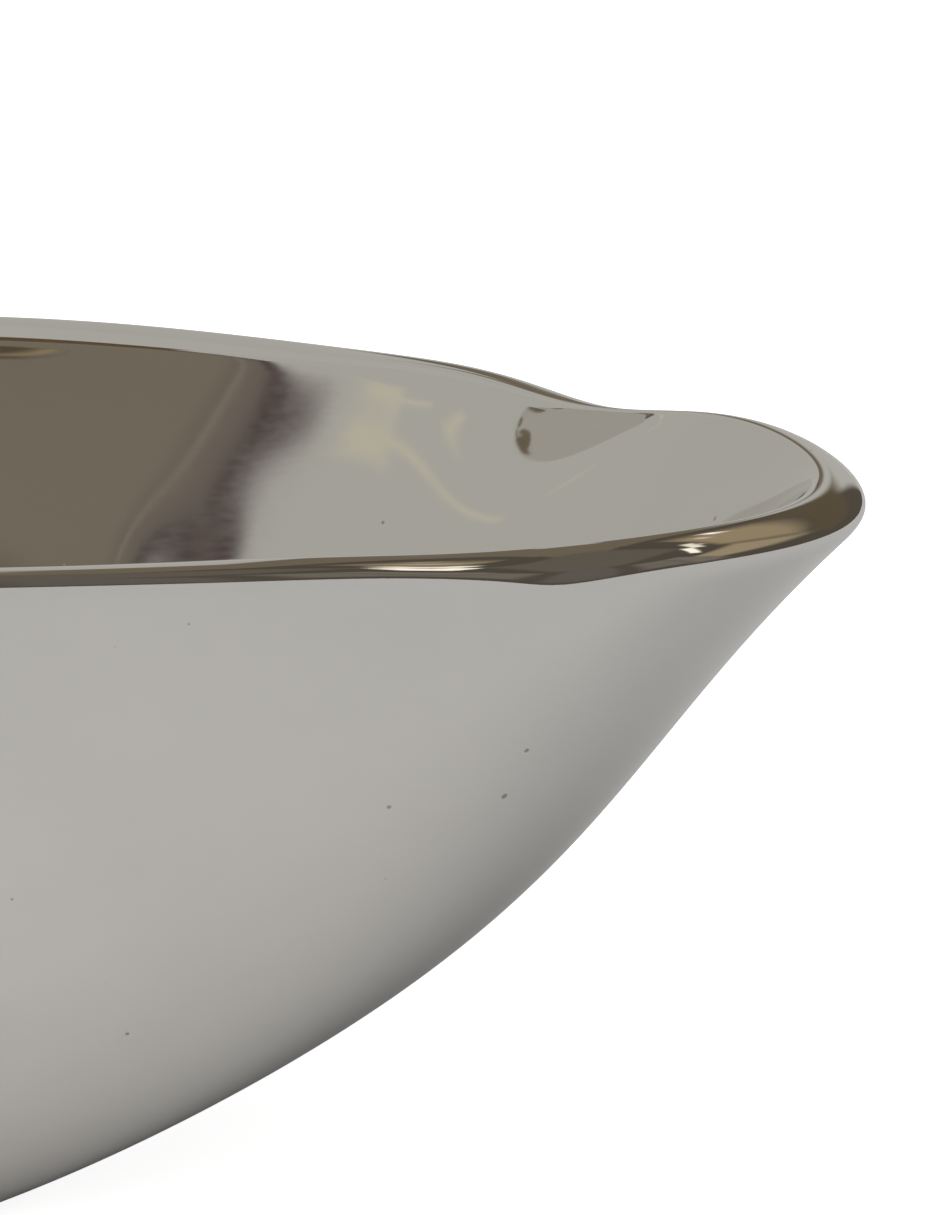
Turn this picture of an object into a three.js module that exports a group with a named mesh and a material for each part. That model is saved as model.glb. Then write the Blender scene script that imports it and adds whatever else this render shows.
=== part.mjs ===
// A hand-polished cast aluminium bowl: long and boat-shaped, thick-walled, with a pouring lip pinched into
// the rim at each end, standing on four small rubber feet. Millimetres, +Z up and +X along the bowl.
// The origin is on the table, under the middle of the bowl.
import * as THREE from "three";

// Size of the casting, over the outer wall's top edge and over the flat foot
const RIM_LENGTH = 320;
const RIM_WIDTH = 190;
const RIM_HEIGHT = 120.8; // above the flat of the cast foot
const FOOT_LENGTH = 49.5;
const FOOT_WIDTH = 54.5;

// Thickness of the casting, square to its outer wall
const WALL_THICKNESS = 6.5;
const RIM_THICKNESS = 9.6; // across the rounded rim
const RIM_CROWN = 3.9; // height of the rounded rim above the two walls' top edges
const RIM_SKEW = 0.41; // how far its crest stands outwards of its middle, as a share of half its thickness
const FOOT_EDGE_THICKNESS = 11.5; // heaviest where the wall leaves the foot
const FLOOR_THICKNESS = 5.5; // under the lowest point of the inside
const RIM_SWELL_START = 0.6; // share of the wall's height line where the wall starts to thicken to the rim
const FOOT_SWELL_END = 0.5; // share of it where the foot's extra thickness has run out

// The outer wall's line along the bowl, from the foot's edge to the lip
const KEEL_FOOT_SLOPE = 26.2; // degrees from level, where it leaves the foot
const KEEL_FOOT_REACH = 110.5; // how long it holds that slope
const KEEL_RIM_SLOPE = 47; // degrees from level, where it meets the lip
const KEEL_RIM_REACH = 62;

// The outer wall's line across the middle of the bowl, from the foot's edge to the rim
const SIDE_FOOT_SLOPE = 35.8;
const SIDE_FOOT_REACH = 34.8;
const SIDE_RIM_SLOPE = 84.5;
const SIDE_RIM_REACH = 20.7;

// The bowl's outline seen from above, the same at every height, as its width against that of an ellipse
const SIDE_FLATTENING = 0.578; // drawn in, growing with the square of the distance from the middle
const LIP_FULLNESS = 1.345; // filled out again, with the fourth power
const TIP_ROUNDING = 0.772; // drawn in at the very tip, with the sixth power
const PINCH_DEPTH = 0.101; // share of the width that the pinch behind each lip takes away at the rim
const PINCH_PLACE = 115.4; // from the middle of the bowl to the pinch
const PINCH_SPREAD = 20.5; // half-width of the pinch along the bowl
const PINCH_FADE = 8.1; // how fast the pinch dies out down the wall

// The rim's wave seen from the side, against a level rim
const MIDDLE_RISE = 1.2;
const PINCH_DIP = 1.84;
const LIP_DROP = 4.6;
const WAVE_FADE = 2; // how fast the wave dies out down the wall, to the level foot

// Rubber feet
const FEET_DIAMETER = 10;
const FEET_THICKNESS = 2;
const FEET_EDGE_ROUNDING = 0.8;
const FEET_INSET = 3.5; // from the cast foot's edge to a rubber foot's edge

// Fineness of the surfaces
const STEPS_AROUND = 80;
const OUTER_WALL_STEPS = 14;
const RIM_STEPS = 6;
const INNER_WALL_STEPS = 10;
const FLOOR_STEPS = 3;
const FEET_STEPS_AROUND = 24;
const FEET_ROUNDING_STEPS = 2;
const TANGENT_STEP = 0.001; // share of the wall's height line, for its direction at the rim

// Finishes
const POLISHED_ALUMINIUM = { color: 0xf1efeb, roughness: 0.05, metalness: 1 };
const CLEAR_GREY_RUBBER = { color: 0x55565a, roughness: 0.75, metalness: 0 };

/** A smooth step from 0 at `from` to 1 at `to`. */
function smoothStep(value, from, to) {
  return THREE.MathUtils.smoothstep(value, from, to);
}

/** Evenly spaced shares from 0 to 1. */
function evenShares(steps) {
  return Array.from({ length: steps + 1 }, (_, step) => step / steps);
}

/** A bell-shaped bump that is 1 at the pinch and dies out on either side of it. */
function pinchAt(distance) {
  return Math.exp(-(((distance - PINCH_PLACE) / PINCH_SPREAD) ** 2));
}

/** The outer wall's line from the foot's edge to the rim: x is the distance out, y the height. */
function outerProfile(footHalf, rimHalf, footSlope, footReach, rimSlope, rimReach) {
  const start = new THREE.Vector2(footHalf, 0);
  const end = new THREE.Vector2(rimHalf, RIM_HEIGHT);
  const leaving = new THREE.Vector2(footReach, 0).rotateAround(
    new THREE.Vector2(),
    THREE.MathUtils.degToRad(footSlope),
  );
  const arriving = new THREE.Vector2(-rimReach, 0).rotateAround(
    new THREE.Vector2(),
    THREE.MathUtils.degToRad(rimSlope),
  );
  return new THREE.CubicBezierCurve(start, leaving.add(start), arriving.add(end), end);
}

/** Thickness of the wall at a share of the way from the foot (0) to the rim (1). */
function thicknessAt(share) {
  const atFoot = (FOOT_EDGE_THICKNESS - WALL_THICKNESS) * (1 - smoothStep(share, 0, FOOT_SWELL_END));
  const atRim = (RIM_THICKNESS - WALL_THICKNESS) * smoothStep(share, RIM_SWELL_START, 1);
  return WALL_THICKNESS + atFoot + atRim;
}

/** The inner wall's point behind a point of the outer wall's line. */
function innerPoint(profile, share) {
  const along = profile.getTangent(share);
  const inwards = new THREE.Vector2(-along.y, along.x);
  return profile.getPoint(share).addScaledVector(inwards, thicknessAt(share));
}

/** The floor's line, level at the middle and meeting the inner wall at the wall's own slope. */
function floorProfile(profile) {
  const edge = innerPoint(profile, 0);
  const slope = profile.getTangent(0);
  const knee = new THREE.Vector2(edge.x - ((edge.y - FLOOR_THICKNESS) * slope.x) / slope.y, FLOOR_THICKNESS);
  return new THREE.QuadraticBezierCurve(new THREE.Vector2(0, FLOOR_THICKNESS), knee, edge);
}

/**
 * A closed ring of points round the bowl, through a point of the lengthwise line at each end and a point
 * of the crosswise line at each side. The share is how far up the wall it lies, from 0 to 1.
 */
function ringThrough(keelPoint, sidePoint, share) {
  const waveShare = share ** WAVE_FADE;
  const pinchShare = share ** PINCH_FADE;
  return Array.from({ length: STEPS_AROUND }, (_, step) => {
    const angle = (2 * Math.PI * step) / STEPS_AROUND;
    const alongBowl = Math.cos(angle);
    const acrossBowl = Math.sin(angle);
    const square = alongBowl ** 2;
    const pinch = pinchShare * pinchAt((Math.abs(alongBowl) * RIM_LENGTH) / 2);
    const fullness = -SIDE_FLATTENING * square + LIP_FULLNESS * square ** 2 - TIP_ROUNDING * square ** 3;
    const wave = MIDDLE_RISE * (1 - square) ** 2 - LIP_DROP * square ** 3;
    const width = 1 + fullness - PINCH_DEPTH * pinch;
    const evenHeight = keelPoint.y * square + sidePoint.y * (1 - square);
    return new THREE.Vector3(
      keelPoint.x * alongBowl,
      sidePoint.x * acrossBowl * width,
      FEET_THICKNESS + evenHeight + waveShare * wave - PINCH_DIP * pinch,
    );
  });
}

/** The rounded rim: half ovals over from the outer wall's top edge, their crests pushed outwards. */
function rimRings(outerEdge, belowOuterEdge, innerEdge) {
  const frames = outerEdge.map((point, step) => {
    const middle = point.clone().lerp(innerEdge[step], 1 / 2);
    const outwards = point.clone().sub(middle);
    const upwards = point.clone().sub(belowOuterEdge[step]);
    upwards.addScaledVector(outwards, -upwards.dot(outwards) / outwards.lengthSq()).setLength(RIM_CROWN);
    return { middle, outwards, upwards };
  });
  return Array.from({ length: RIM_STEPS - 1 }, (_, row) => {
    const turn = (Math.PI * (row + 1)) / RIM_STEPS;
    const sideways = Math.cos(turn) + RIM_SKEW * Math.sin(turn) ** 2;
    return frames.map(({ middle, outwards, upwards }) =>
      middle.clone().addScaledVector(outwards, sideways).addScaledVector(upwards, Math.sin(turn)),
    );
  });
}

/** One closed skin from a list of rings, with a fan from its first and its last ring to a middle point. */
function skinOver(rings, firstMiddle, lastMiddle) {
  const around = rings[0].length;
  const points = [firstMiddle, ...rings.flat(), lastMiddle];
  const cornerOf = (row, step) => 1 + row * around + (step % around);
  const last = points.length - 1;
  const faces = [];
  for (let step = 0; step < around; step += 1) {
    faces.push(0, cornerOf(0, step + 1), cornerOf(0, step));
    for (let row = 0; row < rings.length - 1; row += 1) {
      const corners = [
        cornerOf(row, step),
        cornerOf(row, step + 1),
        cornerOf(row + 1, step + 1),
        cornerOf(row + 1, step),
      ];
      faces.push(corners[0], corners[1], corners[2], corners[0], corners[2], corners[3]);
    }
    faces.push(last, cornerOf(rings.length - 1, step), cornerOf(rings.length - 1, step + 1));
  }
  const geometry = new THREE.BufferGeometry().setFromPoints(points);
  geometry.setIndex(faces);
  geometry.computeVertexNormals();
  return geometry;
}

/** The casting: outer wall up from the flat foot, over the rim, down the inner wall and across the floor. */
function castBowlGeometry() {
  const keel = outerProfile(
    FOOT_LENGTH / 2,
    RIM_LENGTH / 2,
    KEEL_FOOT_SLOPE,
    KEEL_FOOT_REACH,
    KEEL_RIM_SLOPE,
    KEEL_RIM_REACH,
  );
  const side = outerProfile(
    FOOT_WIDTH / 2,
    RIM_WIDTH / 2,
    SIDE_FOOT_SLOPE,
    SIDE_FOOT_REACH,
    SIDE_RIM_SLOPE,
    SIDE_RIM_REACH,
  );
  const outerRing = (share) => ringThrough(keel.getPoint(share), side.getPoint(share), share);
  const innerRing = (share) => ringThrough(innerPoint(keel, share), innerPoint(side, share), share);
  const outerWall = evenShares(OUTER_WALL_STEPS).map(outerRing);
  const innerWall = evenShares(INNER_WALL_STEPS).reverse().map(innerRing);
  const rim = rimRings(outerWall.at(-1), outerRing(1 - TANGENT_STEP), innerWall[0]);

  const keelFloor = floorProfile(keel);
  const sideFloor = floorProfile(side);
  const floor = Array.from({ length: FLOOR_STEPS - 1 }, (_, row) => {
    const share = 1 - (row + 1) / FLOOR_STEPS;
    return ringThrough(keelFloor.getPoint(share), sideFloor.getPoint(share), 0);
  });
  return skinOver(
    [...outerWall, ...rim, ...innerWall, ...floor],
    new THREE.Vector3(0, 0, FEET_THICKNESS),
    new THREE.Vector3(0, 0, FEET_THICKNESS + FLOOR_THICKNESS),
  );
}

/** One rubber foot: a flat disc whose lower edge is rounded, standing on z = 0 round the z axis. */
function rubberFootGeometry() {
  const radius = FEET_DIAMETER / 2;
  const outline = [new THREE.Vector2(0, 0)];
  for (let step = 0; step <= FEET_ROUNDING_STEPS; step += 1) {
    const turn = (Math.PI / 2) * (step / FEET_ROUNDING_STEPS);
    outline.push(
      new THREE.Vector2(
        radius - FEET_EDGE_ROUNDING * (1 - Math.sin(turn)),
        FEET_EDGE_ROUNDING * (1 - Math.cos(turn)),
      ),
    );
  }
  outline.push(new THREE.Vector2(radius, FEET_THICKNESS), new THREE.Vector2(0, FEET_THICKNESS));
  return new THREE.LatheGeometry(outline, FEET_STEPS_AROUND).rotateX(Math.PI / 2);
}

/** Four rubber feet, stuck under the cast foot on its diagonals. */
function rubberFeet() {
  const material = new THREE.MeshStandardMaterial(CLEAR_GREY_RUBBER);
  const fromEdge = FEET_INSET + FEET_DIAMETER / 2;
  return Array.from({ length: 4 }, (_, index) => {
    const angle = Math.PI / 4 + (Math.PI / 2) * index;
    const foot = new THREE.Mesh(rubberFootGeometry(), material.clone());
    foot.name = `rubber_foot_${index + 1}`;
    foot.position.set(
      (FOOT_LENGTH / 2 - fromEdge) * Math.cos(angle),
      (FOOT_WIDTH / 2 - fromEdge) * Math.sin(angle),
      0,
    );
    return foot;
  });
}

/** The whole bowl. */
function aluminiumBowl() {
  const casting = new THREE.Mesh(castBowlGeometry(), new THREE.MeshStandardMaterial(POLISHED_ALUMINIUM));
  casting.name = "cast_bowl";
  const bowl = new THREE.Group();
  bowl.add(casting, ...rubberFeet());
  return bowl;
}

export default aluminiumBowl();
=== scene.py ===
"""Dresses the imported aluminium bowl: the polished casting, its rubber feet and a plain pale studio."""

import logging
import math
from dataclasses import asdict, dataclass, fields
from enum import Enum
from typing import Any

import bpy
from mathutils import Matrix, Vector


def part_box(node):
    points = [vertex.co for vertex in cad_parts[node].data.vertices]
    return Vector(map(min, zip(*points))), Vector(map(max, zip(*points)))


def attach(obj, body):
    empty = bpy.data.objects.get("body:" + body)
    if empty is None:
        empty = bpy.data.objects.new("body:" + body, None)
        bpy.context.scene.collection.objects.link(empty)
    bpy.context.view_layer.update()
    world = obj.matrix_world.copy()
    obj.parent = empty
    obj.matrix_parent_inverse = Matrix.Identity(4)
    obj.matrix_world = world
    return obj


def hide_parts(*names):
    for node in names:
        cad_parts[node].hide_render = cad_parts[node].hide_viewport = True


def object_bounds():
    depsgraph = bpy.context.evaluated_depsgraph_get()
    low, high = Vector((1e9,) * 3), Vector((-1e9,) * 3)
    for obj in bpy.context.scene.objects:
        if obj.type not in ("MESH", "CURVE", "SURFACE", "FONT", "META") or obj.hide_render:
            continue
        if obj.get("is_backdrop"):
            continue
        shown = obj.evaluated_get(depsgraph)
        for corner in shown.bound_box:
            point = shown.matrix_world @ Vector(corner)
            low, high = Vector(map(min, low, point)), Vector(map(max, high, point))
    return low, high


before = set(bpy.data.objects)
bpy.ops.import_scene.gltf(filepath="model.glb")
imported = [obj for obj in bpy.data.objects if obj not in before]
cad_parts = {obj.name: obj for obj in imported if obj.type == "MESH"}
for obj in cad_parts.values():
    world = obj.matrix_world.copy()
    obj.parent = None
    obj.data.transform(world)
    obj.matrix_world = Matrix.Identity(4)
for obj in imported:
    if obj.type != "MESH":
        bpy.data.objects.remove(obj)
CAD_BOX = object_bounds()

LOG = logging.getLogger("aluminium_bowl")
MM = 0.001
BODY = "root"
CASTING_NODE = "cast_bowl"
FEET_NODES = sorted(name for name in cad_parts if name.startswith("rubber_foot_"))
WHITE = (1.0, 1.0, 1.0, 1.0)

# Places of a mix node's two ends, and of its result, by what it mixes
FLOAT_A, FLOAT_B, VECTOR_A, VECTOR_B, COLOUR_A, COLOUR_B = range(2, 8)
MIXED_VECTOR, MIXED_COLOUR = 1, 2


class Slot(Enum):
    """The material slots, by name."""

    CASTING = "polished_cast_aluminium"
    FEET = "grey_rubber"


def linear(hex_colour: str) -> tuple[float, float, float, float]:
    """Turns an sRGB hex colour into a linear one.

    Args:
        hex_colour: Six hexadecimal digits after a #.

    Returns:
        Linear red, green, blue and an alpha of one.
    """
    channels = [int(hex_colour[start : start + 2], 16) / 255 for start in (1, 3, 5)]
    straight = [c / 12.92 if c <= 0.04045 else ((c + 0.055) / 1.055) ** 2.4 for c in channels]
    return (*straight, 1.0)


class Graph:
    """A node tree that is being built."""

    def __init__(self, tree: bpy.types.NodeTree) -> None:
        """Takes over an empty tree.

        Args:
            tree: The shader or geometry node tree to fill.
        """
        self.tree = tree

    def add(self, kind: str, *values: Any, at: dict[int | str, Any] | None = None, out: int | str = 0,
            **settings: Any) -> Any:
        """Adds a node with its settings and links.

        Args:
            kind: The node's type name.
            *values: What goes into the first inputs, in their order: sockets to link or values to set.
            at: What goes into other inputs, by their place or name.
            out: Which output to hand back.
            **settings: Values for the node's own properties.

        Returns:
            The chosen output socket, or the node itself if it has no outputs.
        """
        node = self.tree.nodes.new(kind)
        for name, value in settings.items():
            setattr(node, name, value)
        for place, value in (dict(enumerate(values)) | (at or {})).items():
            if isinstance(value, bpy.types.NodeSocket):
                self.tree.links.new(value, node.inputs[place])
            else:
                node.inputs[place].default_value = value
        return node.outputs[out] if node.outputs else node

    def polynomial(self, variable: Any, factors: dict[int, Any]) -> Any:
        """Adds the sum of factors times powers of a variable.

        Args:
            variable: The variable's socket.
            factors: The factor of each power, a socket or a number.

        Returns:
            The socket that holds the sum.
        """
        total: Any = 0.0
        for power, factor in factors.items():
            raised = self.add("ShaderNodeMath", variable, float(power), operation="POWER")
            total = self.add("ShaderNodeMath", raised, factor, total, operation="MULTIPLY_ADD")
        return total


def empty_graph(owner: bpy.types.Material | bpy.types.World) -> Graph:
    """Empties the node tree of a new material or world and starts a graph in it.

    Args:
        owner: The material or the world.

    Returns:
        The graph.
    """
    owner.use_nodes = True
    owner.node_tree.nodes.clear()
    return Graph(owner.node_tree)


def placed(name: str, data: bpy.types.Mesh | bpy.types.Camera) -> bpy.types.Object:
    """Puts a new object in the scene.

    Args:
        name: The object's name.
        data: Its mesh or its camera.

    Returns:
        The object, at the origin.
    """
    item = bpy.data.objects.new(name, data)
    bpy.context.scene.collection.objects.link(item)
    return item


@dataclass(frozen=True)
class DressingMark:
    """A wide, shallow swelling or hollow that hand polishing left in the inner wall, in millimetres."""

    along: float
    across: float
    level: float
    spread: float
    rise: float


@dataclass(frozen=True)
class CastingSizes:
    """Real sizes of the casting, in millimetres, degrees and shares, as the CAD model has them."""

    rim_length: float = 320
    rim_width: float = 190
    rim_height: float = 120.8
    foot_length: float = 49.5
    foot_width: float = 54.5
    wall_thickness: float = 6.5
    rim_thickness: float = 9.6
    rim_crown: float = 3.9
    rim_skew_share: float = 0.41
    foot_edge_thickness: float = 11.5
    floor_thickness: float = 5.5
    keel_foot_slope: float = 26.2
    keel_foot_reach: float = 110.5
    keel_rim_slope: float = 47
    keel_rim_reach: float = 62
    side_foot_slope: float = 35.8
    side_foot_reach: float = 34.8
    side_rim_slope: float = 84.5
    side_rim_reach: float = 20.7
    pinch_place: float = 115.4
    pinch_spread: float = 20.5
    middle_rise: float = 1.2
    pinch_dip: float = 1.84
    lip_drop: float = 4.6
    feet_thickness: float = 2
    rim_swell_start_share: float = 0.6
    foot_swell_end_share: float = 0.5
    side_flattening_share: float = 0.578
    lip_fullness_share: float = 1.345
    tip_rounding_share: float = 0.772
    pinch_depth_share: float = 0.101
    wave_fade_power: float = 2
    pinch_fade_power: float = 8.1
    marks: tuple[DressingMark, ...] = (
        DressingMark(along=33.8, across=72, level=88.4, spread=12, rise=0.6),
        DressingMark(along=67.7, across=72, level=133.2, spread=12, rise=0.6),
        DressingMark(along=70.2, across=72, level=116.6, spread=12, rise=-0.39),
    )

    def in_metres(self) -> dict[str, float]:
        """Gives every size in the tree's own units.

        Returns:
            Metres for lengths, radians for slopes and plain numbers for shares and powers, by name.
        """
        scales = {"slope": math.radians(1), "share": 1.0, "power": 1.0}
        sizes = {size.name: getattr(self, size.name) for size in fields(self) if size.name != "marks"}
        for number, mark in enumerate(self.marks, 1):
            sizes |= {f"mark_{number}_{name}": value for name, value in asdict(mark).items()}
        return {
            name: float(value) * scales.get(name.rsplit("_", 1)[-1], MM)
            for name, value in sizes.items()}


@dataclass(frozen=True)
class SkinSteps:
    """How finely the skin's stretches are divided, from the foot's middle round to the floor's."""

    around: int = 400
    foot: int = 6
    outer_wall: int = 90
    rim: int = 28
    inner_wall: int = 66
    floor: int = 20


class CastingTree:
    """The geometry node tree that works the casting's skin out from its sizes."""

    TANGENT_STEP = 0.001  # share of the wall's line that its direction at the rim is taken over
    WELD = 0.00001  # metres within which two points are one
    CREASE = math.radians(20)  # an edge that turns more than this stays sharp
    LEVEL = math.radians(5)  # how far from level the foot's flat may be
    INWARDS = -0.5  # how far across the bowl a face looks where it counts fully as inner wall

    def __init__(self, sizes: CastingSizes, steps: SkinSteps) -> None:
        """Starts the tree with one named input for each size.

        Args:
            sizes: The casting's real sizes.
            steps: How finely the skin is divided.
        """
        self.steps = steps
        self.tree = bpy.data.node_groups.new("casting_skin", "GeometryNodeTree")
        self.tree.interface.new_socket("Skin", in_out="OUTPUT", socket_type="NodeSocketGeometry")
        for name in sizes.in_metres():
            label = name.replace("_", " ").title()
            self.tree.interface.new_socket(label, in_out="INPUT", socket_type="NodeSocketFloat")
        for label in ("Casting Finish", "Foot Finish"):
            self.tree.interface.new_socket(label, in_out="INPUT", socket_type="NodeSocketMaterial")
        self.graph = Graph(self.tree)
        self.add = self.graph.add
        entry = self.tree.nodes.new("NodeGroupInput")
        self.size = dict(zip(sizes.in_metres(), entry.outputs))
        self.casting_finish = entry.outputs["Casting Finish"]
        self.foot_finish = entry.outputs["Foot Finish"]
        place = self.add("ShaderNodeSeparateXYZ", self.add("GeometryNodeInputPosition")).node.outputs
        self.around = self.add("ShaderNodeMath", place["X"], 0.5, operation="ADD")
        self.along = self.add("ShaderNodeMath", place["Y"], 0.5, operation="ADD")
        self.read_outline()

    def read_outline(self) -> None:
        """Works out the rim's outline and wave, which depend only on the angle round the bowl."""
        add, size = self.add, self.size
        angle = add("ShaderNodeMath", self.around, 2 * math.pi, operation="MULTIPLY")
        self.lengthwise = add("ShaderNodeMath", angle, operation="COSINE")
        self.crosswise = add("ShaderNodeMath", angle, operation="SINE")
        self.square = add("ShaderNodeMath", self.lengthwise, self.lengthwise, operation="MULTIPLY")
        half_length = add("ShaderNodeMath", size["rim_length"], 0.5, operation="MULTIPLY")
        off_middle = add("ShaderNodeMath", self.lengthwise, operation="ABSOLUTE")
        distance = add("ShaderNodeMath", off_middle, half_length, operation="MULTIPLY")
        off_pinch = add("ShaderNodeMath", distance, size["pinch_place"], operation="SUBTRACT")
        spreads = add("ShaderNodeMath", off_pinch, size["pinch_spread"], operation="DIVIDE")
        fall = self.graph.polynomial(spreads, {2: -1.0})
        self.pinch = add("ShaderNodeMath", fall, operation="EXPONENT")
        taken_away = (
            "side_flattening_share", "tip_rounding_share", "pinch_depth_share", "pinch_dip", "lip_drop")
        negative = {
            name: add("ShaderNodeMath", size[name], -1.0, operation="MULTIPLY")
            for name in taken_away}
        self.outline = self.graph.polynomial(self.square, {
            0: 1.0,
            1: negative["side_flattening_share"],
            2: size["lip_fullness_share"],
            3: negative["tip_rounding_share"]})
        off_tip = add("ShaderNodeMath", 1.0, self.square, operation="SUBTRACT")
        rise = self.graph.polynomial(off_tip, {2: size["middle_rise"]})
        drop = self.graph.polynomial(self.square, {3: negative["lip_drop"]})
        self.wave = add("ShaderNodeMath", rise, drop, operation="ADD")
        self.pinch_narrowing = add(
            "ShaderNodeMath", self.pinch, negative["pinch_depth_share"], operation="MULTIPLY")
        self.pinch_drop = add("ShaderNodeMath", self.pinch, negative["pinch_dip"], operation="MULTIPLY")

    def wall_points(self, line: str, share: Any) -> tuple[Any, Any, Any]:
        """Finds the two faces of the wall on one of the bowl's two section lines.

        Args:
            line: "keel" for the line along the bowl, "side" for the line across it.
            share: How far up the wall, from 0 at the foot to 1 at the rim.

        Returns:
            The outer face's point, the inner face's point and the outer line's direction, as vectors
            whose X is the distance out and whose Z is the height.
        """
        add, size = self.add, self.size
        across = "length" if line == "keel" else "width"
        ends = []
        for end, height, turn in (("foot", 0.0, 1.0), ("rim", size["rim_height"], -1.0)):
            half = add("ShaderNodeMath", size[f"{end}_{across}"], 0.5, operation="MULTIPLY")
            corner = add("ShaderNodeCombineXYZ", half, 0.0, height)
            reach = add("ShaderNodeMath", size[f"{line}_{end}_reach"], turn, operation="MULTIPLY")
            level = add("ShaderNodeMath", size[f"{line}_{end}_slope"], operation="COSINE")
            upright = add("ShaderNodeMath", size[f"{line}_{end}_slope"], operation="SINE")
            heading = add("ShaderNodeCombineXYZ", level, 0.0, upright)
            handle = add("ShaderNodeVectorMath", heading, at={"Scale": reach}, operation="SCALE")
            ends += [corner, add("ShaderNodeVectorMath", corner, handle, operation="ADD")]
        outer, chord = self.bezier([ends[0], ends[1], ends[3], ends[2]], share)
        direction = add("ShaderNodeVectorMath", chord, operation="NORMALIZE")
        inwards = add("ShaderNodeVectorMath", direction, (0.0, 1.0, 0.0), operation="CROSS_PRODUCT")
        through = add(
            "ShaderNodeVectorMath", inwards, at={"Scale": self.thickness(share)}, operation="SCALE")
        return outer, add("ShaderNodeVectorMath", outer, through, operation="ADD"), direction

    def bezier(self, points: list[Any], share: Any) -> tuple[Any, Any]:
        """Runs a curve from its first control point to its last, drawn towards those in between.

        Args:
            points: The control points.
            share: How far along the curve, from 0 to 1.

        Returns:
            The curve's point there, and a vector along the curve.
        """
        chord = points
        while len(points) > 1:
            chord = points
            points = [
                self.add(
                    "ShaderNodeMix", share, at={VECTOR_A: start, VECTOR_B: end},
                    out=MIXED_VECTOR, data_type="VECTOR")
                for start, end in zip(points, points[1:])]
        return points[0], self.add("ShaderNodeVectorMath", chord[1], chord[0], operation="SUBTRACT")

    def thickness(self, share: Any) -> Any:
        """Works out the wall's thickness.

        Args:
            share: How far up the wall, from 0 at the foot to 1 at the rim.

        Returns:
            The thickness there, heavier at the foot and at the rim.
        """
        add, size = self.add, self.size
        wall = size["wall_thickness"]
        foot_extra = add("ShaderNodeMath", size["foot_edge_thickness"], wall, operation="SUBTRACT")
        rim_extra = add("ShaderNodeMath", size["rim_thickness"], wall, operation="SUBTRACT")
        at_foot = add(
            "ShaderNodeMapRange", share, 0.0, size["foot_swell_end_share"], foot_extra, 0.0,
            interpolation_type="SMOOTHSTEP")
        at_rim = add(
            "ShaderNodeMapRange", share, size["rim_swell_start_share"], 1.0, 0.0, rim_extra,
            interpolation_type="SMOOTHSTEP")
        swollen = add("ShaderNodeMath", at_foot, at_rim, operation="ADD")
        return add("ShaderNodeMath", wall, swollen, operation="ADD")

    def ring(self, keel_point: Any, side_point: Any, share: Any) -> Any:
        """Puts a ring round the bowl through a point of each section line.

        Args:
            keel_point: The point on the line along the bowl.
            side_point: The point on the line across the bowl.
            share: How far up the wall, for how much of the rim's wave and pinch the ring takes.

        Returns:
            The ring's position in space.
        """
        add, size = self.add, self.size
        keel = add("ShaderNodeSeparateXYZ", keel_point).node.outputs
        side = add("ShaderNodeSeparateXYZ", side_point).node.outputs
        wavy = add("ShaderNodeMath", share, size["wave_fade_power"], operation="POWER")
        pinched = add("ShaderNodeMath", share, size["pinch_fade_power"], operation="POWER")
        width = add(
            "ShaderNodeMath", pinched, self.pinch_narrowing, self.outline, operation="MULTIPLY_ADD")
        height = add(
            "ShaderNodeMix", self.square, at={FLOAT_A: side["Z"], FLOAT_B: keel["Z"]},
            data_type="FLOAT")
        waved = add("ShaderNodeMath", wavy, self.wave, height, operation="MULTIPLY_ADD")
        dipped = add("ShaderNodeMath", pinched, self.pinch_drop, waved, operation="MULTIPLY_ADD")
        half_width = add("ShaderNodeMath", side["X"], self.crosswise, operation="MULTIPLY")
        return add(
            "ShaderNodeCombineXYZ",
            add("ShaderNodeMath", keel["X"], self.lengthwise, operation="MULTIPLY"),
            add("ShaderNodeMath", half_width, width, operation="MULTIPLY"),
            add("ShaderNodeMath", dipped, size["feet_thickness"], operation="ADD"))

    def wall_ring(self, share: Any, inner: bool) -> Any:
        """Puts a ring on one face of the wall, a share of the way up."""
        keel, side = (self.wall_points(line, share)[1 if inner else 0] for line in ("keel", "side"))
        return self.ring(keel, side, share)

    def rim(self, share: Any) -> Any:
        """Rolls the rim over from the outer wall's top edge to the inner wall's.

        Args:
            share: How far round the roll, from 0 on the outside to 1 on the inside.

        Returns:
            The position on a half oval whose crest stands outwards of its middle.
        """
        add, size = self.add, self.size
        outer = self.wall_ring(1.0, inner=False)
        below = self.wall_ring(1.0 - self.TANGENT_STEP, inner=False)
        inner = self.wall_ring(1.0, inner=True)
        middle = add(
            "ShaderNodeMix", 0.5, at={VECTOR_A: outer, VECTOR_B: inner},
            out=MIXED_VECTOR, data_type="VECTOR")
        outwards = add("ShaderNodeVectorMath", outer, middle, operation="SUBTRACT")
        rising = add("ShaderNodeVectorMath", outer, below, operation="SUBTRACT")
        leaning = add("ShaderNodeVectorMath", rising, outwards, operation="PROJECT")
        upright = add("ShaderNodeVectorMath", rising, leaning, operation="SUBTRACT")
        heading = add("ShaderNodeVectorMath", upright, operation="NORMALIZE")
        turn = add("ShaderNodeMath", share, math.pi, operation="MULTIPLY")
        sine = add("ShaderNodeMath", turn, operation="SINE")
        cosine = add("ShaderNodeMath", turn, operation="COSINE")
        squared = add("ShaderNodeMath", sine, sine, operation="MULTIPLY")
        skewed = add("ShaderNodeMath", squared, size["rim_skew_share"], cosine, operation="MULTIPLY_ADD")
        crown = add("ShaderNodeMath", sine, size["rim_crown"], operation="MULTIPLY")
        over = add("ShaderNodeVectorMath", heading, at={"Scale": crown}, operation="SCALE")
        sideways = add("ShaderNodeVectorMath", outwards, at={"Scale": skewed}, operation="SCALE")
        from_middle = add("ShaderNodeVectorMath", over, sideways, operation="ADD")
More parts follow.
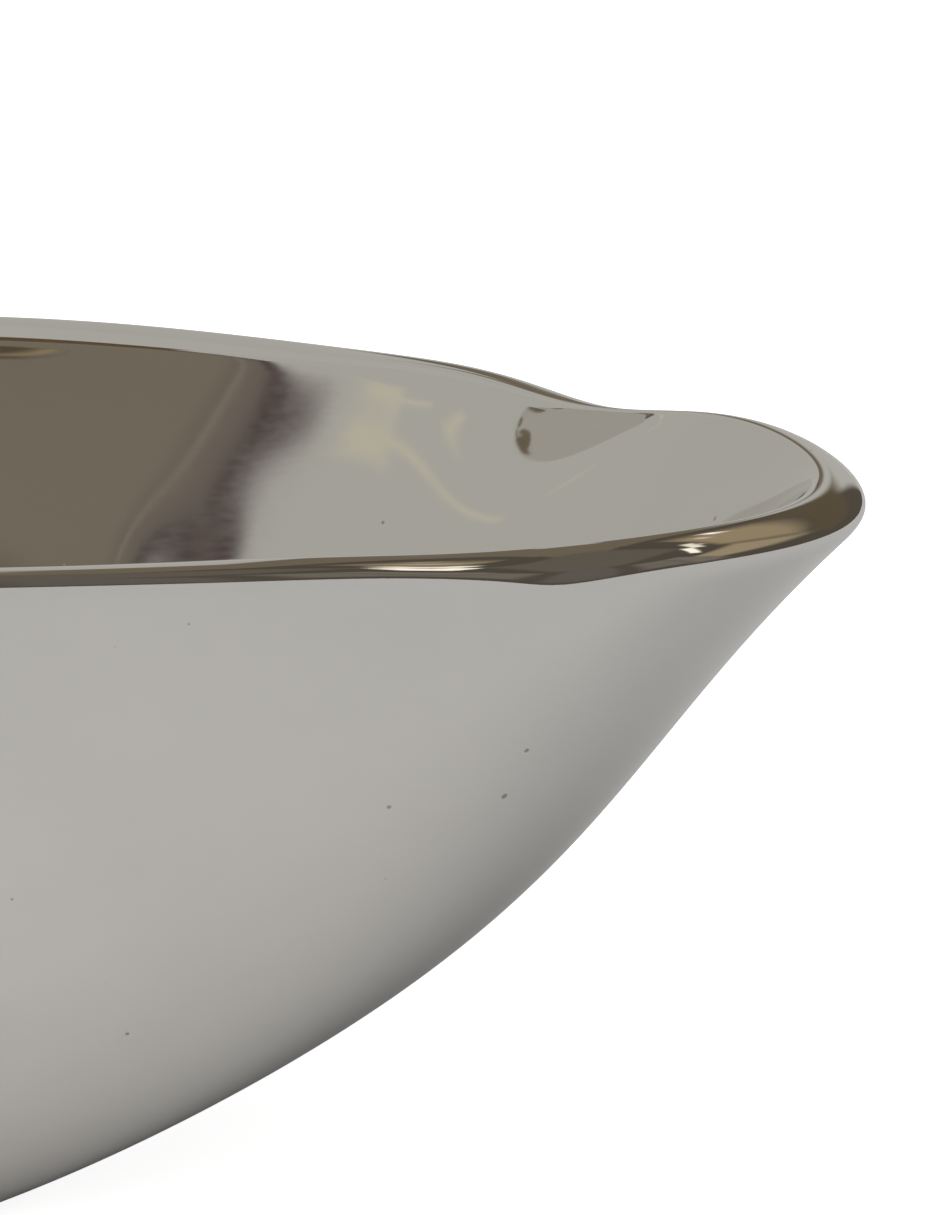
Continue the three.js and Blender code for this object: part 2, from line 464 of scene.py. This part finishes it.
        return add("ShaderNodeVectorMath", middle, from_middle, operation="ADD")

    def floor(self, share: Any) -> Any:
        """Curves the floor from its level middle to the inner wall's foot.

        Args:
            share: How far out, from 0 in the middle to 1 at the wall.

        Returns:
            The position on the floor.
        """
        add, floor_level = self.add, self.size["floor_thickness"]
        lines = []
        for line in ("keel", "side"):
            _, edge, direction = self.wall_points(line, 0.0)
            place = add("ShaderNodeSeparateXYZ", edge).node.outputs
            slope = add("ShaderNodeSeparateXYZ", direction).node.outputs
            height = add("ShaderNodeMath", place["Z"], floor_level, operation="SUBTRACT")
            flatness = add("ShaderNodeMath", slope["X"], slope["Z"], operation="DIVIDE")
            run = add("ShaderNodeMath", height, flatness, operation="MULTIPLY")
            knee_out = add("ShaderNodeMath", place["X"], run, operation="SUBTRACT")
            middle = add("ShaderNodeCombineXYZ", 0.0, 0.0, floor_level)
            knee = add("ShaderNodeCombineXYZ", knee_out, 0.0, floor_level)
            lines.append(self.bezier([middle, knee, edge], share)[0])
        return self.ring(lines[0], lines[1], 0.0)

    def foot(self, share: Any) -> Any:
        """Spreads the flat foot.

        Args:
            share: How far out, from 0 in the middle to 1 at the foot's edge.

        Returns:
            The position on the foot.
        """
        lines = []
        for across in ("foot_length", "foot_width"):
            half = self.add("ShaderNodeMath", self.size[across], 0.5, operation="MULTIPLY")
            out = self.add("ShaderNodeMath", half, share, operation="MULTIPLY")
            lines.append(self.add("ShaderNodeCombineXYZ", out))
        return self.ring(lines[0], lines[1], 0.0)

    def stretch(self, steps: int, position: Any) -> Any:
        """Lays one grid over a stretch of the skin.

        Args:
            steps: How many rows of faces the stretch has.
            position: Where each of its points goes.

        Returns:
            The stretch's geometry.
        """
        grid = self.add("GeometryNodeMeshGrid", 1.0, 1.0, self.steps.around + 1, steps + 1)
        return self.add("GeometryNodeSetPosition", grid, at={"Position": position})

    def build(self) -> bpy.types.NodeTree:
        """Joins the five stretches into one closed, hand-dressed skin and gives it its finishes.

        Returns:
            The finished tree.
        """
        add = self.add
        back = add("ShaderNodeMath", 1.0, self.along, operation="SUBTRACT")
        stretches = [
            self.stretch(self.steps.foot, self.foot(self.along)),
            self.stretch(self.steps.outer_wall, self.wall_ring(self.along, inner=False)),
            self.stretch(self.steps.rim, self.rim(self.along)),
            self.stretch(self.steps.inner_wall, self.wall_ring(back, inner=True)),
            self.stretch(self.steps.floor, self.floor(back)),
        ]
        joined = add("GeometryNodeJoinGeometry")
        for part in reversed(stretches):  # the node joins the last link first
            self.tree.links.new(part, joined.node.inputs[0])
        closed = add("GeometryNodeMergeByDistance", joined, at={"Distance": self.WELD})
        dressed = self.hand_dressed(closed)
        angle = add("GeometryNodeInputMeshEdgeAngle", out="Unsigned Angle")
        sharp = add("ShaderNodeMath", angle, self.CREASE, operation="GREATER_THAN")
        smooth_faces = add("GeometryNodeSetShadeSmooth", dressed, at={"Shade Smooth": True})
        creased = add(
            "GeometryNodeSetShadeSmooth", smooth_faces,
            at={"Selection": sharp, "Shade Smooth": False}, domain="EDGE")
        real = add("GeometryNodeRealizeInstances", creased)
        polished = add("GeometryNodeSetMaterial", real, at={"Material": self.casting_finish})
        facing = add("ShaderNodeSeparateXYZ", add("GeometryNodeInputNormal"), out="Z")
        foot_face = add("ShaderNodeMath", facing, -math.cos(self.LEVEL), operation="LESS_THAN")
        finished = add(
            "GeometryNodeSetMaterial", polished,
            at={"Selection": foot_face, "Material": self.foot_finish})
        leaving = self.tree.nodes.new("NodeGroupOutput")
        self.tree.links.new(finished, leaving.inputs["Skin"])
        return self.tree

    def hand_dressed(self, skin: Any) -> Any:
        """Bends the inner wall by the swellings and hollows that hand polishing left in it.

        Args:
            skin: The even skin.

        Returns:
            The uneven skin.
        """
        add, size = self.add, self.size
        place, normal = add("GeometryNodeInputPosition"), add("GeometryNodeInputNormal")
        rise: Any = 0.0
        for mark in sorted({name.rsplit("_", 1)[0] for name in size if name.startswith("mark_")}):
            place_sizes = (size[f"{mark}_{way}"] for way in ("along", "across", "level"))
            middle = add("ShaderNodeCombineXYZ", *place_sizes)
            distance = add("ShaderNodeVectorMath", place, middle, out="Value", operation="DISTANCE")
            spreads = add("ShaderNodeMath", distance, size[f"{mark}_spread"], operation="DIVIDE")
            fall = add("ShaderNodeMath", self.graph.polynomial(spreads, {2: -0.5}), operation="EXPONENT")
            rise = add("ShaderNodeMath", fall, size[f"{mark}_rise"], rise, operation="MULTIPLY_ADD")
        facing = add("ShaderNodeSeparateXYZ", normal, out="Y")
        on_inner_wall = add(
            "ShaderNodeMapRange", facing, self.INWARDS, 0.0, 1.0, 0.0, interpolation_type="SMOOTHSTEP")
        kept = add("ShaderNodeMath", rise, on_inner_wall, operation="MULTIPLY")
        offset = add("ShaderNodeVectorMath", normal, at={"Scale": kept}, operation="SCALE")
        return add("GeometryNodeSetPosition", skin, at={"Offset": offset})


@dataclass(frozen=True)
class MirrorPolishedCastAluminium:
    """Sand-cast aluminium, ground and buffed by hand to a mirror.

    The eye sees a warm grey mirror with a breath of buffing haze, hair-fine marks that run along the
    bowl, and a few pits where the grinding opened gas bubbles in the casting. The pits are painted a
    darker grey inside, as painted shade in their hollows.
    """

    bright: str = "#F1EFEB"
    dull: str = "#E8E6E2"
    # painted shade: the darker grey that the pits' hollows are coloured
    pit: str = "#A9A59E"
    roughness_clear: float = 0.02
    roughness_hazy: float = 0.05
    mark_roughness: float = 0.03
    pit_roughness: float = 0.25
    pit_metal: float = 0.9
    haze_span_mm: float = 38.0
    haze_starts: float = 0.3
    haze_full: float = 0.75
    haze_detail: float = 3.0
    haze_ruggedness: float = 0.6
    mark_spacing_mm: float = 0.9
    mark_length_mm: float = 30.0
    mark_depth_mm: float = 0.0004
    mark_detail: float = 4.0
    pit_spacing_mm: float = 10.0
    pit_radius_mm: float = 0.75
    smallest_pit_mm: float = 0.28
    pit_depth_mm: float = 0.04
    pit_fray_mm: float = 0.1
    pit_fray_span_mm: float = 0.5
    pit_fray_detail: float = 2.0
    pit_floor_share: float = 0.6
    pit_share: float = 0.6

    def material(self) -> bpy.types.Material:
        """Builds the material.

        Returns:
            The mirror polish.
        """
        material = bpy.data.materials.new("mirror_polished_cast_aluminium")
        graph = empty_graph(material)
        add = graph.add
        place = add("ShaderNodeTexCoord", out="Object")
        haze = add("ShaderNodeTexNoise", at={
            "Vector": place, "Scale": 1 / (self.haze_span_mm * MM),
            "Detail": self.haze_detail, "Roughness": self.haze_ruggedness})
        along_bowl = add("ShaderNodeMapping", at={
            "Vector": place,
            "Scale": (1 / (self.mark_length_mm * MM), *[1 / (self.mark_spacing_mm * MM)] * 2)})
        marks = add("ShaderNodeTexNoise", at={
            "Vector": along_bowl, "Scale": 1.0, "Detail": self.mark_detail})
        pits = self.pits(graph, place)
        hazy = add(
            "ShaderNodeMapRange", haze, self.haze_starts, self.haze_full,
            self.roughness_clear, self.roughness_hazy)
        marked = add("ShaderNodeMath", marks, self.mark_roughness, hazy, operation="MULTIPLY_ADD")
        roughness = add("ShaderNodeMath", pits, self.pit_roughness, marked, operation="MULTIPLY_ADD")
        shades = {COLOUR_A: linear(self.bright), COLOUR_B: linear(self.dull)}
        grey = add("ShaderNodeMix", haze, at=shades, out=MIXED_COLOUR, data_type="RGBA")
        # The pits are painted a darker grey, as painted shade in their hollows; their rougher, less
        # metallic floor and their dip come from roughness, metal and bump.
        colour = add(
            "ShaderNodeMix", pits, at={COLOUR_A: grey, COLOUR_B: linear(self.pit)},
            out=MIXED_COLOUR, data_type="RGBA")
        metal = add("ShaderNodeMapRange", pits, 0.0, 1.0, 1.0, self.pit_metal)
        scratched = add("ShaderNodeBump", at={
            "Height": marks, "Distance": self.mark_depth_mm * MM, "Strength": 1.0})
        sunk = add(
            "ShaderNodeBump", invert=True,
            at={"Height": pits, "Distance": self.pit_depth_mm * MM, "Strength": 1.0, "Normal": scratched})
        surface = add("ShaderNodeBsdfPrincipled", at={
            "Base Color": colour, "Metallic": metal, "Roughness": roughness, "Normal": sunk})
        add("ShaderNodeOutputMaterial", surface)
        return material

    def pits(self, graph: Graph, place: Any) -> Any:
        """Scatters round casting pits: one in many of the cells of a loose pattern.

        Args:
            graph: The material's graph.
            place: The object coordinates.

        Returns:
            A socket that is one in a pit and zero outside.
        """
        add = graph.add
        cell = self.pit_spacing_mm
        cells = add("ShaderNodeTexVoronoi", at={"Vector": place, "Scale": 1 / (cell * MM)}).node.outputs
        ragged = add("ShaderNodeTexNoise", at={
            "Vector": place, "Scale": 1 / (self.pit_fray_span_mm * MM), "Detail": self.pit_fray_detail})
        fray = add(
            "ShaderNodeMapRange", ragged, 0.0, 1.0, -self.pit_fray_mm / cell, self.pit_fray_mm / cell)
        distance = add("ShaderNodeMath", cells["Distance"], fray, operation="ADD")
        chance = add("ShaderNodeSeparateColor", cells["Color"]).node.outputs
        radius = add(
            "ShaderNodeMapRange", chance["Green"], 0.0, 1.0,
            self.smallest_pit_mm / cell, self.pit_radius_mm / cell)
        wall_foot = add("ShaderNodeMath", radius, self.pit_floor_share, operation="MULTIPLY")
        hole = add("ShaderNodeMapRange", distance, wall_foot, radius, 1.0, 0.0)
        chosen = add("ShaderNodeMath", chance["Red"], self.pit_share, operation="LESS_THAN")
        return add("ShaderNodeMath", hole, chosen, operation="MULTIPLY")


@dataclass(frozen=True)
class GroundCastAluminium:
    """The flat of the cast foot, ground level on a belt and left unpolished.

    The eye sees a dull silver face with straight grinding lines.
    """

    bright: str = "#BDBBB6"
    dull: str = "#8F8D88"
    line_spacing_mm: float = 0.35
    line_length_mm: float = 22.0
    line_depth_mm: float = 0.01
    belt_angle: float = 20.0
    smooth_roughness: float = 0.24
    torn_roughness: float = 0.44
    line_detail: float = 5.0

    def material(self) -> bpy.types.Material:
        """Builds the material.

        Returns:
            The ground face.
        """
        material = bpy.data.materials.new("ground_cast_aluminium")
        graph = empty_graph(material)
        place = graph.add("ShaderNodeTexCoord", out="Object")
        along_belt = graph.add("ShaderNodeMapping", at={
            "Vector": place,
            "Rotation": (0.0, 0.0, math.radians(self.belt_angle)),
            "Scale": (1 / (self.line_length_mm * MM), *[1 / (self.line_spacing_mm * MM)] * 2)})
        lines = graph.add("ShaderNodeTexNoise", at={
            "Vector": along_belt, "Scale": 1.0, "Detail": self.line_detail})
        shades = {COLOUR_A: linear(self.dull), COLOUR_B: linear(self.bright)}
        colour = graph.add("ShaderNodeMix", lines, at=shades, out=MIXED_COLOUR, data_type="RGBA")
        roughness = graph.add(
            "ShaderNodeMapRange", lines, 0.0, 1.0, self.smooth_roughness, self.torn_roughness)
        bump = graph.add("ShaderNodeBump", at={
            "Height": lines, "Distance": self.line_depth_mm * MM, "Strength": 1.0})
        surface = graph.add("ShaderNodeBsdfPrincipled", at={
            "Base Color": colour, "Metallic": 1.0, "Roughness": roughness, "Normal": bump})
        graph.add("ShaderNodeOutputMaterial", surface)
        return material


@dataclass(frozen=True)
class MouldedGreyRubber:
    """Soft moulded rubber of the stick-on feet.

    The eye sees a matt dark grey with a faint moulded grain and lint on it.
    """

    dark: str = "#3E3F43"
    worn: str = "#5B5C60"
    grain_mm: float = 0.35
    grain_depth_mm: float = 0.02
    grain_detail: float = 3.0
    lint_span_mm: float = 3.0
    lint_detail: float = 4.0
    clean_roughness: float = 0.62
    linty_roughness: float = 0.82

    def material(self) -> bpy.types.Material:
        """Builds the material.

        Returns:
            The rubber.
        """
        material = bpy.data.materials.new("moulded_grey_rubber")
        graph = empty_graph(material)
        place = graph.add("ShaderNodeTexCoord", out="Object")
        grain = graph.add("ShaderNodeTexNoise", at={
            "Vector": place, "Scale": 1 / (self.grain_mm * MM), "Detail": self.grain_detail})
        lint = graph.add("ShaderNodeTexNoise", at={
            "Vector": place, "Scale": 1 / (self.lint_span_mm * MM), "Detail": self.lint_detail})
        shades = {COLOUR_A: linear(self.dark), COLOUR_B: linear(self.worn)}
        colour = graph.add("ShaderNodeMix", lint, at=shades, out=MIXED_COLOUR, data_type="RGBA")
        roughness = graph.add(
            "ShaderNodeMapRange", lint, 0.0, 1.0, self.clean_roughness, self.linty_roughness)
        bump = graph.add("ShaderNodeBump", at={
            "Height": grain, "Distance": self.grain_depth_mm * MM, "Strength": 1.0})
        surface = graph.add("ShaderNodeBsdfPrincipled", at={
            "Base Color": colour, "Roughness": roughness, "Normal": bump})
        graph.add("ShaderNodeOutputMaterial", surface)
        return material


def plain_mesh(tree: bpy.types.NodeTree, inputs: dict[str, Any], name: str) -> bpy.types.Object:
    """Runs a geometry node tree and keeps its result as a plain mesh.

    Args:
        tree: The tree, which ends in one geometry.
        inputs: A value for each named input.
        name: The piece's name.

    Returns:
        An object at the origin that holds the mesh and no modifier.
    """
    carrier = placed(f"{name}_carrier", bpy.data.meshes.new(f"{name}_carrier"))
    modifier = carrier.modifiers.new("shape", "NODES")
    modifier.node_group = tree
    for item in tree.interface.items_tree:
        if item.item_type == "SOCKET" and item.in_out == "INPUT" and item.name in inputs:
            modifier[item.identifier] = inputs[item.name]
    shaped = carrier.evaluated_get(bpy.context.evaluated_depsgraph_get())
    mesh = bpy.data.meshes.new_from_object(shaped)
    mesh.name = name
    carrier.modifiers.remove(modifier)
    bpy.data.objects.remove(carrier)
    return placed(name, mesh)


@dataclass
class Casting:
    """The one-piece aluminium casting."""

    sizes: CastingSizes = CastingSizes()
    steps: SkinSteps = SkinSteps()

    def build(self) -> bpy.types.Object:
        """Makes the polished casting and puts it in the place of the CAD casting.

        Returns:
            The casting's object.
        """
        inputs: dict[str, Any] = {
            name.replace("_", " ").title(): value
            for name, value in self.sizes.in_metres().items()}
        inputs["Casting Finish"] = MirrorPolishedCastAluminium().material()
        inputs["Foot Finish"] = GroundCastAluminium().material()
        piece = plain_mesh(CastingTree(self.sizes, self.steps).build(), inputs, "polished_casting")
        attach(piece, BODY)
        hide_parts(CASTING_NODE)
        return piece


@dataclass
class RubberFeet:
    """The four stick-on rubber feet."""

    edge_rounding: float = 0.8 * MM
    glue_edge_rounding: float = 0.15 * MM
    steps_around: int = 64
    rounding_steps: int = 6
    crease: float = math.radians(35)

    def profile(self, radius: float, height: float) -> list[tuple[float, float]]:
        """Draws half of a foot's section.

        Args:
            radius: The foot's radius, in metres.
            height: The foot's thickness, in metres.

        Returns:
            Points of radius and height, from the underside's rim up to the glued face's rim.
        """
        under, glued = self.edge_rounding, self.glue_edge_rounding
        turns = [math.pi / 2 * step / self.rounding_steps for step in range(self.rounding_steps + 1)]
        lower = [(radius - under * (1 - math.sin(turn)), under * (1 - math.cos(turn))) for turn in turns]
        upper = [
            (radius - glued * (1 - math.cos(turn)), height - glued * (1 - math.sin(turn)))
            for turn in turns]
        return lower + upper

    def build(self) -> list[bpy.types.Object]:
        """Makes one rounded foot in the place of each CAD foot."""
        finish = MouldedGreyRubber().material()
        return [self.foot(node, finish) for node in FEET_NODES]

    def foot(self, node: str, finish: bpy.types.Material) -> bpy.types.Object:
        """Makes one foot.

        Args:
            node: The CAD node that it stands for.
            finish: The rubber.

        Returns:
            The foot's object.
        """
        low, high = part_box(node)
        centre = (low + high) / 2
        outline = self.profile((high.x - low.x) / 2, high.z - low.z)
        turns = [2 * math.pi * step / self.steps_around for step in range(self.steps_around)]
        points = [
            (centre.x + out * math.cos(turn), centre.y + out * math.sin(turn), low.z + up)
            for out, up in outline
            for turn in turns]
        rows = len(outline)
        faces = [tuple(reversed(range(self.steps_around)))]
        faces.append(tuple(range((rows - 1) * self.steps_around, rows * self.steps_around)))
        for row in range(rows - 1):
            for step in range(self.steps_around):
                following = (step + 1) % self.steps_around
                below, above = row * self.steps_around, (row + 1) * self.steps_around
                faces.append((below + step, below + following, above + following, above + step))
        mesh = bpy.data.meshes.new(f"moulded_{node}")
        mesh.from_pydata(points, [], faces)
        mesh.materials.append(finish)
        mesh.shade_smooth()
        mesh.set_sharp_from_angle(angle=self.crease)
        piece = placed(f"moulded_{node}", mesh)
        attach(piece, BODY)
        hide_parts(node)
        return piece


@dataclass(frozen=True)
class Panel:
    """A flat panel that stands or hangs round the bowl, seen only in reflections.

    Its edges are shares of its distance from the bowl, measured from the point that the bowl faces.
    """

    colour: str
    facing: float
    left: float
    right: float
    bottom: float
    top: float
    tilt: float = 0.0
    strength: float = 1.0
    blur: float = 0.03

    def axes(self) -> dict[str, Vector]:
        """Works out the panel's directions.

        Returns:
            The directions towards the panel, across it and up it, by name.
        """
        turn, tilt = math.radians(self.facing), math.radians(self.tilt)
        level = Vector((math.cos(turn), math.sin(turn), 0.0))
        upright = Vector((0.0, 0.0, 1.0))
        return {
            "towards": level * math.cos(tilt) + upright * math.sin(tilt),
            "across": level.cross(upright),
            "up": upright * math.cos(tilt) - level * math.sin(tilt)}

    def over(self, graph: Graph, behind: Any, direction: Any) -> Any:
        """Lays the panel over what is behind it.

        Args:
            graph: The world's graph.
            behind: The colour behind the panel.
            direction: The direction that is looked in.

        Returns:
            The colour with the panel.
        """
        add = graph.add
        reach = {
            name: add(
                "ShaderNodeVectorMath", direction, tuple(axis), out="Value", operation="DOT_PRODUCT")
            for name, axis in self.axes().items()}
        past_edges = []
        for name, low, high in (("across", self.left, self.right), ("up", self.bottom, self.top)):
            place = add("ShaderNodeMath", reach[name], reach["towards"], operation="DIVIDE")
            off_middle = add("ShaderNodeMath", place, (low + high) / 2, operation="SUBTRACT")
            size = add("ShaderNodeMath", off_middle, operation="ABSOLUTE")
            past_edges.append(add("ShaderNodeMath", size, (high - low) / 2, operation="SUBTRACT"))
        outside = add("ShaderNodeMath", *past_edges, operation="MAXIMUM")
        inside = add(
            "ShaderNodeMapRange", outside, -self.blur, self.blur, 1.0, 0.0,
            interpolation_type="SMOOTHSTEP")
        ahead = add("ShaderNodeMath", reach["towards"], 0.0, operation="GREATER_THAN")
        seen = add("ShaderNodeMath", inside, ahead, operation="MULTIPLY")
        colour = (*(channel * self.strength for channel in linear(self.colour)[:3]), 1.0)
        return add(
            "ShaderNodeMix", seen, at={COLOUR_A: behind, COLOUR_B: colour},
            out=MIXED_COLOUR, data_type="RGBA")


@dataclass(frozen=True)
class Surroundings:
    """What lights the bowl, and what its mirror shows: a dim room with a light wall on the left.

    Only the metal sees the room. The camera sees plain white behind the floor, and the floor is lit
    softly from all round, most of all from above in front.
    """

    room: str = "#70675C"
    room_level: float = 0.53
    fill_light: float = 0.2
    key_light: float = 2.9
    key_azimuth: float = -110.0
    key_elevation: float = 35.0
    panels: tuple[Panel, ...] = (
        # In front on the left: a dim wall, the dark above it, and the pale jamb and dark gap of a door.
        Panel("#9C9282", facing=-117, left=-0.37, right=0.331, bottom=-0.1, top=0.6, blur=0.04),
        Panel("#7A6448", facing=-130, left=-0.9, right=0.5, bottom=0.6, top=2.4, blur=0.1),
        Panel("#8F857A", facing=-136.05, left=-0.0105, right=0.0105, bottom=-0.1, top=0.75, blur=0.002),
        Panel("#B8AC9B", facing=-135.3, left=-0.0025, right=0.0025, bottom=-0.1, top=0.6, blur=0.003),
        Panel("#5C4A4A", facing=-137, left=-0.006, right=0.03, bottom=-0.1, top=0.75, blur=0.002),
        # The long light wall on the left, its bright top, and the dark cupboard at its right end.
        Panel("#F6F2E6", facing=160, left=-0.58, right=1.5, bottom=1.5, top=6.0, blur=0.1),
        Panel("#E8E6DF", facing=160, left=-1.931, right=1.7, bottom=-0.1, top=1.92, blur=0.02),
        Panel("#978A76", facing=100, left=-0.003, right=0.125, bottom=0.2, top=1.5, blur=0.012),
        Panel("#978A76", facing=100, left=-0.065, right=0.1, bottom=0.56, top=2.6, blur=0.02),
        # A cream curtain that hangs on the light wall, and the pole that it hangs from.
        Panel("#FBF5DF", facing=-146, left=-0.125, right=-0.055, bottom=0.195, top=0.25, blur=0.02),
        Panel("#FBF5DF", facing=-146, left=-0.125, right=0.04, bottom=0.21, top=0.222, blur=0.006),
        Panel("#FBF5DF", facing=-146, left=0.065, right=0.12, bottom=0.16, top=0.18, blur=0.012),
        # The pale backdrop, low down behind the bowl.
        Panel("#ECEAE3", facing=95, left=-0.2, right=0.03, bottom=-0.1, top=0.17, blur=0.03),
        Panel("#ECEAE3", facing=95, left=-0.01, right=0.205, bottom=-0.1, top=0.31, blur=0.03),
        # The ceiling: dim overhead, light on the left.
        Panel("#857D71", facing=180, tilt=90, left=-0.4, right=0.45, bottom=-0.16, top=0.3, blur=0.06),
        Panel("#ECEAE3", facing=180, tilt=90, left=-0.5, right=0.7, bottom=-0.8, top=-0.17, blur=0.03),
        # Shelves and boxes in front and on the right.
        Panel("#827B74", facing=-65, left=-0.1, right=0.12, bottom=0.1, top=3.0, blur=0.05),
        Panel("#978F85", facing=-36, left=-0.25, right=0.22, bottom=0.3, top=1.6, blur=0.1),
        Panel("#A0978C", facing=-12, left=-0.15, right=0.15, bottom=0.2, top=1.6, blur=0.1),
        # Wooden boards behind on the right, over a dark shelf.
        Panel("#D2BF9E", facing=22, left=-0.55, right=0.45, bottom=0.55, top=1.22, blur=0.12),
        Panel("#CDB995", facing=66, left=-0.35, right=0.2, bottom=0.58, top=1.2, blur=0.1),
        Panel("#7C6F59", facing=70, left=-0.35, right=0.35, bottom=0.25, top=0.5, blur=0.05),
        # The lamps.
        Panel("#FFF6E6", facing=48, left=-0.1, right=0.5, bottom=1.6, top=1.86, strength=2.3, blur=0.05),
        Panel("#FFF6E6", facing=48, left=-0.42, right=-0.1, bottom=1.4, top=1.6, strength=1.8, blur=0.05),
        Panel("#FFF6E6", facing=84.5, left=-0.025, right=0.025, bottom=0.71, top=0.77, strength=3),
        Panel("#FFE6DC", facing=79, left=-0.03, right=0.03, bottom=0.93, top=1.0, strength=1.4),
        Panel("#FFE6CC", facing=65, left=-0.035, right=0.035, bottom=1.26, top=1.36, strength=1.2),
    )

    def world(self) -> bpy.types.World:
        """Builds the world.

        Returns:
            The world, with the room in its reflections.
        """
        world = bpy.data.worlds.new("studio_world")
        graph = empty_graph(world)
        add = graph.add
        direction = add("ShaderNodeTexCoord", out="Generated")
        colour: Any = linear(self.room)
        for panel in self.panels:
            colour = panel.over(graph, colour, direction)
        room = add("ShaderNodeBackground", colour, self.room_level)
        turn, rise = math.radians(self.key_azimuth), math.radians(self.key_elevation)
        key = (math.cos(turn) * math.cos(rise), math.sin(turn) * math.cos(rise), math.sin(rise))
        nearness = add("ShaderNodeVectorMath", direction, key, out="Value", operation="DOT_PRODUCT")
        towards_key = add("ShaderNodeMath", nearness, 0.0, operation="MAXIMUM")
        softness = graph.polynomial(towards_key, {0: self.fill_light, 2: self.key_light})
        path = add("ShaderNodeLightPath").node.outputs
        level = add(
            "ShaderNodeMix", path["Is Camera Ray"], at={FLOAT_A: softness, FLOAT_B: 1.0},
            data_type="FLOAT")
        plain = add("ShaderNodeBackground", WHITE, level)
        straight = add("ShaderNodeMath", path["Diffuse Depth"], 1.0, operation="LESS_THAN")
        mirrored = add("ShaderNodeMath", path["Is Glossy Ray"], straight, operation="MULTIPLY")
        add("ShaderNodeOutputWorld", add("ShaderNodeMixShader", mirrored, plain, room))
        return world


@dataclass
class Studio:
    """The plain pale floor, the soft light and the camera."""

    elevation: float = 14.4
    azimuth: float = 9.68
    distance: float = 941.5 * MM
    picture_height_at_aim: float = 201.8 * MM
    aim_right: float = 97.8 * MM
    aim_up: float = 93.7 * MM
    sensor: float = 36.0
    floor_radius: float = 6.0
    floor_colour: str = "#B3B2B1"
    floor_glow: float = 0.88

    def camera(self) -> bpy.types.Object:
        """Makes the camera at the photo's viewing angle.

        Returns:
            The camera.
        """
        turn, tilt = math.radians(self.azimuth), math.radians(self.elevation)
        back = Vector((math.sin(turn) * math.cos(tilt), -math.cos(turn) * math.cos(tilt), math.sin(tilt)))
        right = Vector((math.cos(turn), math.sin(turn), 0.0))
        up = back.cross(right)
        foot_level = Vector((0.0, 0.0, CastingSizes().feet_thickness * MM))
        aim = right * self.aim_right + up * self.aim_up + foot_level
        data = bpy.data.cameras.new("studio_camera")
        data.sensor_fit = "AUTO"
        data.sensor_width = self.sensor
        data.lens = self.sensor * self.distance / self.picture_height_at_aim
        camera = placed("studio_camera", data)
        turned = Matrix((right, up, back)).transposed()
        camera.matrix_world = Matrix.Translation(aim + back * self.distance) @ turned.to_4x4()
        return camera

    def floor(self) -> None:
        """Lays the pale floor, which glows for the camera alone."""
        size = self.floor_radius
        corners = [(-size, -size, 0), (size, -size, 0), (size, size, 0), (-size, size, 0)]
        mesh = bpy.data.meshes.new("studio_floor")
        mesh.from_pydata(corners, [], [tuple(range(len(corners)))])
        material = bpy.data.materials.new("pale_floor")
        graph = empty_graph(material)
        matt = graph.add("ShaderNodeBsdfDiffuse", linear(self.floor_colour))
        direct = graph.add("ShaderNodeLightPath", out="Is Camera Ray")
        strength = graph.add("ShaderNodeMath", direct, self.floor_glow, operation="MULTIPLY")
        glow = graph.add("ShaderNodeEmission", WHITE, strength)
        graph.add("ShaderNodeOutputMaterial", graph.add("ShaderNodeAddShader", matt, glow))
        mesh.materials.append(material)
        floor = placed("studio_floor", mesh)
        floor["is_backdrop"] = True

    def build(self) -> None:
        """Sets the whole studio up."""
        bpy.context.scene.camera = self.camera()
        self.floor()
        bpy.context.scene.world = Surroundings().world()
        bpy.context.scene.view_settings.view_transform = "Standard"


def write_sizes() -> None:
    """Works out the CAD box and the visual model's box."""
    boxes = {
        name: [list(corner) for corner in box]
        for name, box in (("cad", CAD_BOX), ("visual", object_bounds()))}


def main() -> None:
    """Builds every piece in order and reports it."""
    logging.basicConfig(level=logging.INFO, format="%(name)s: %(message)s")
    Studio().build()
    for piece in (Casting().build(), *RubberFeet().build()):
        LOG.info("%s has %d faces", piece.name, len(piece.data.polygons))
    write_sizes()


if __name__ == "__main__":
    main()
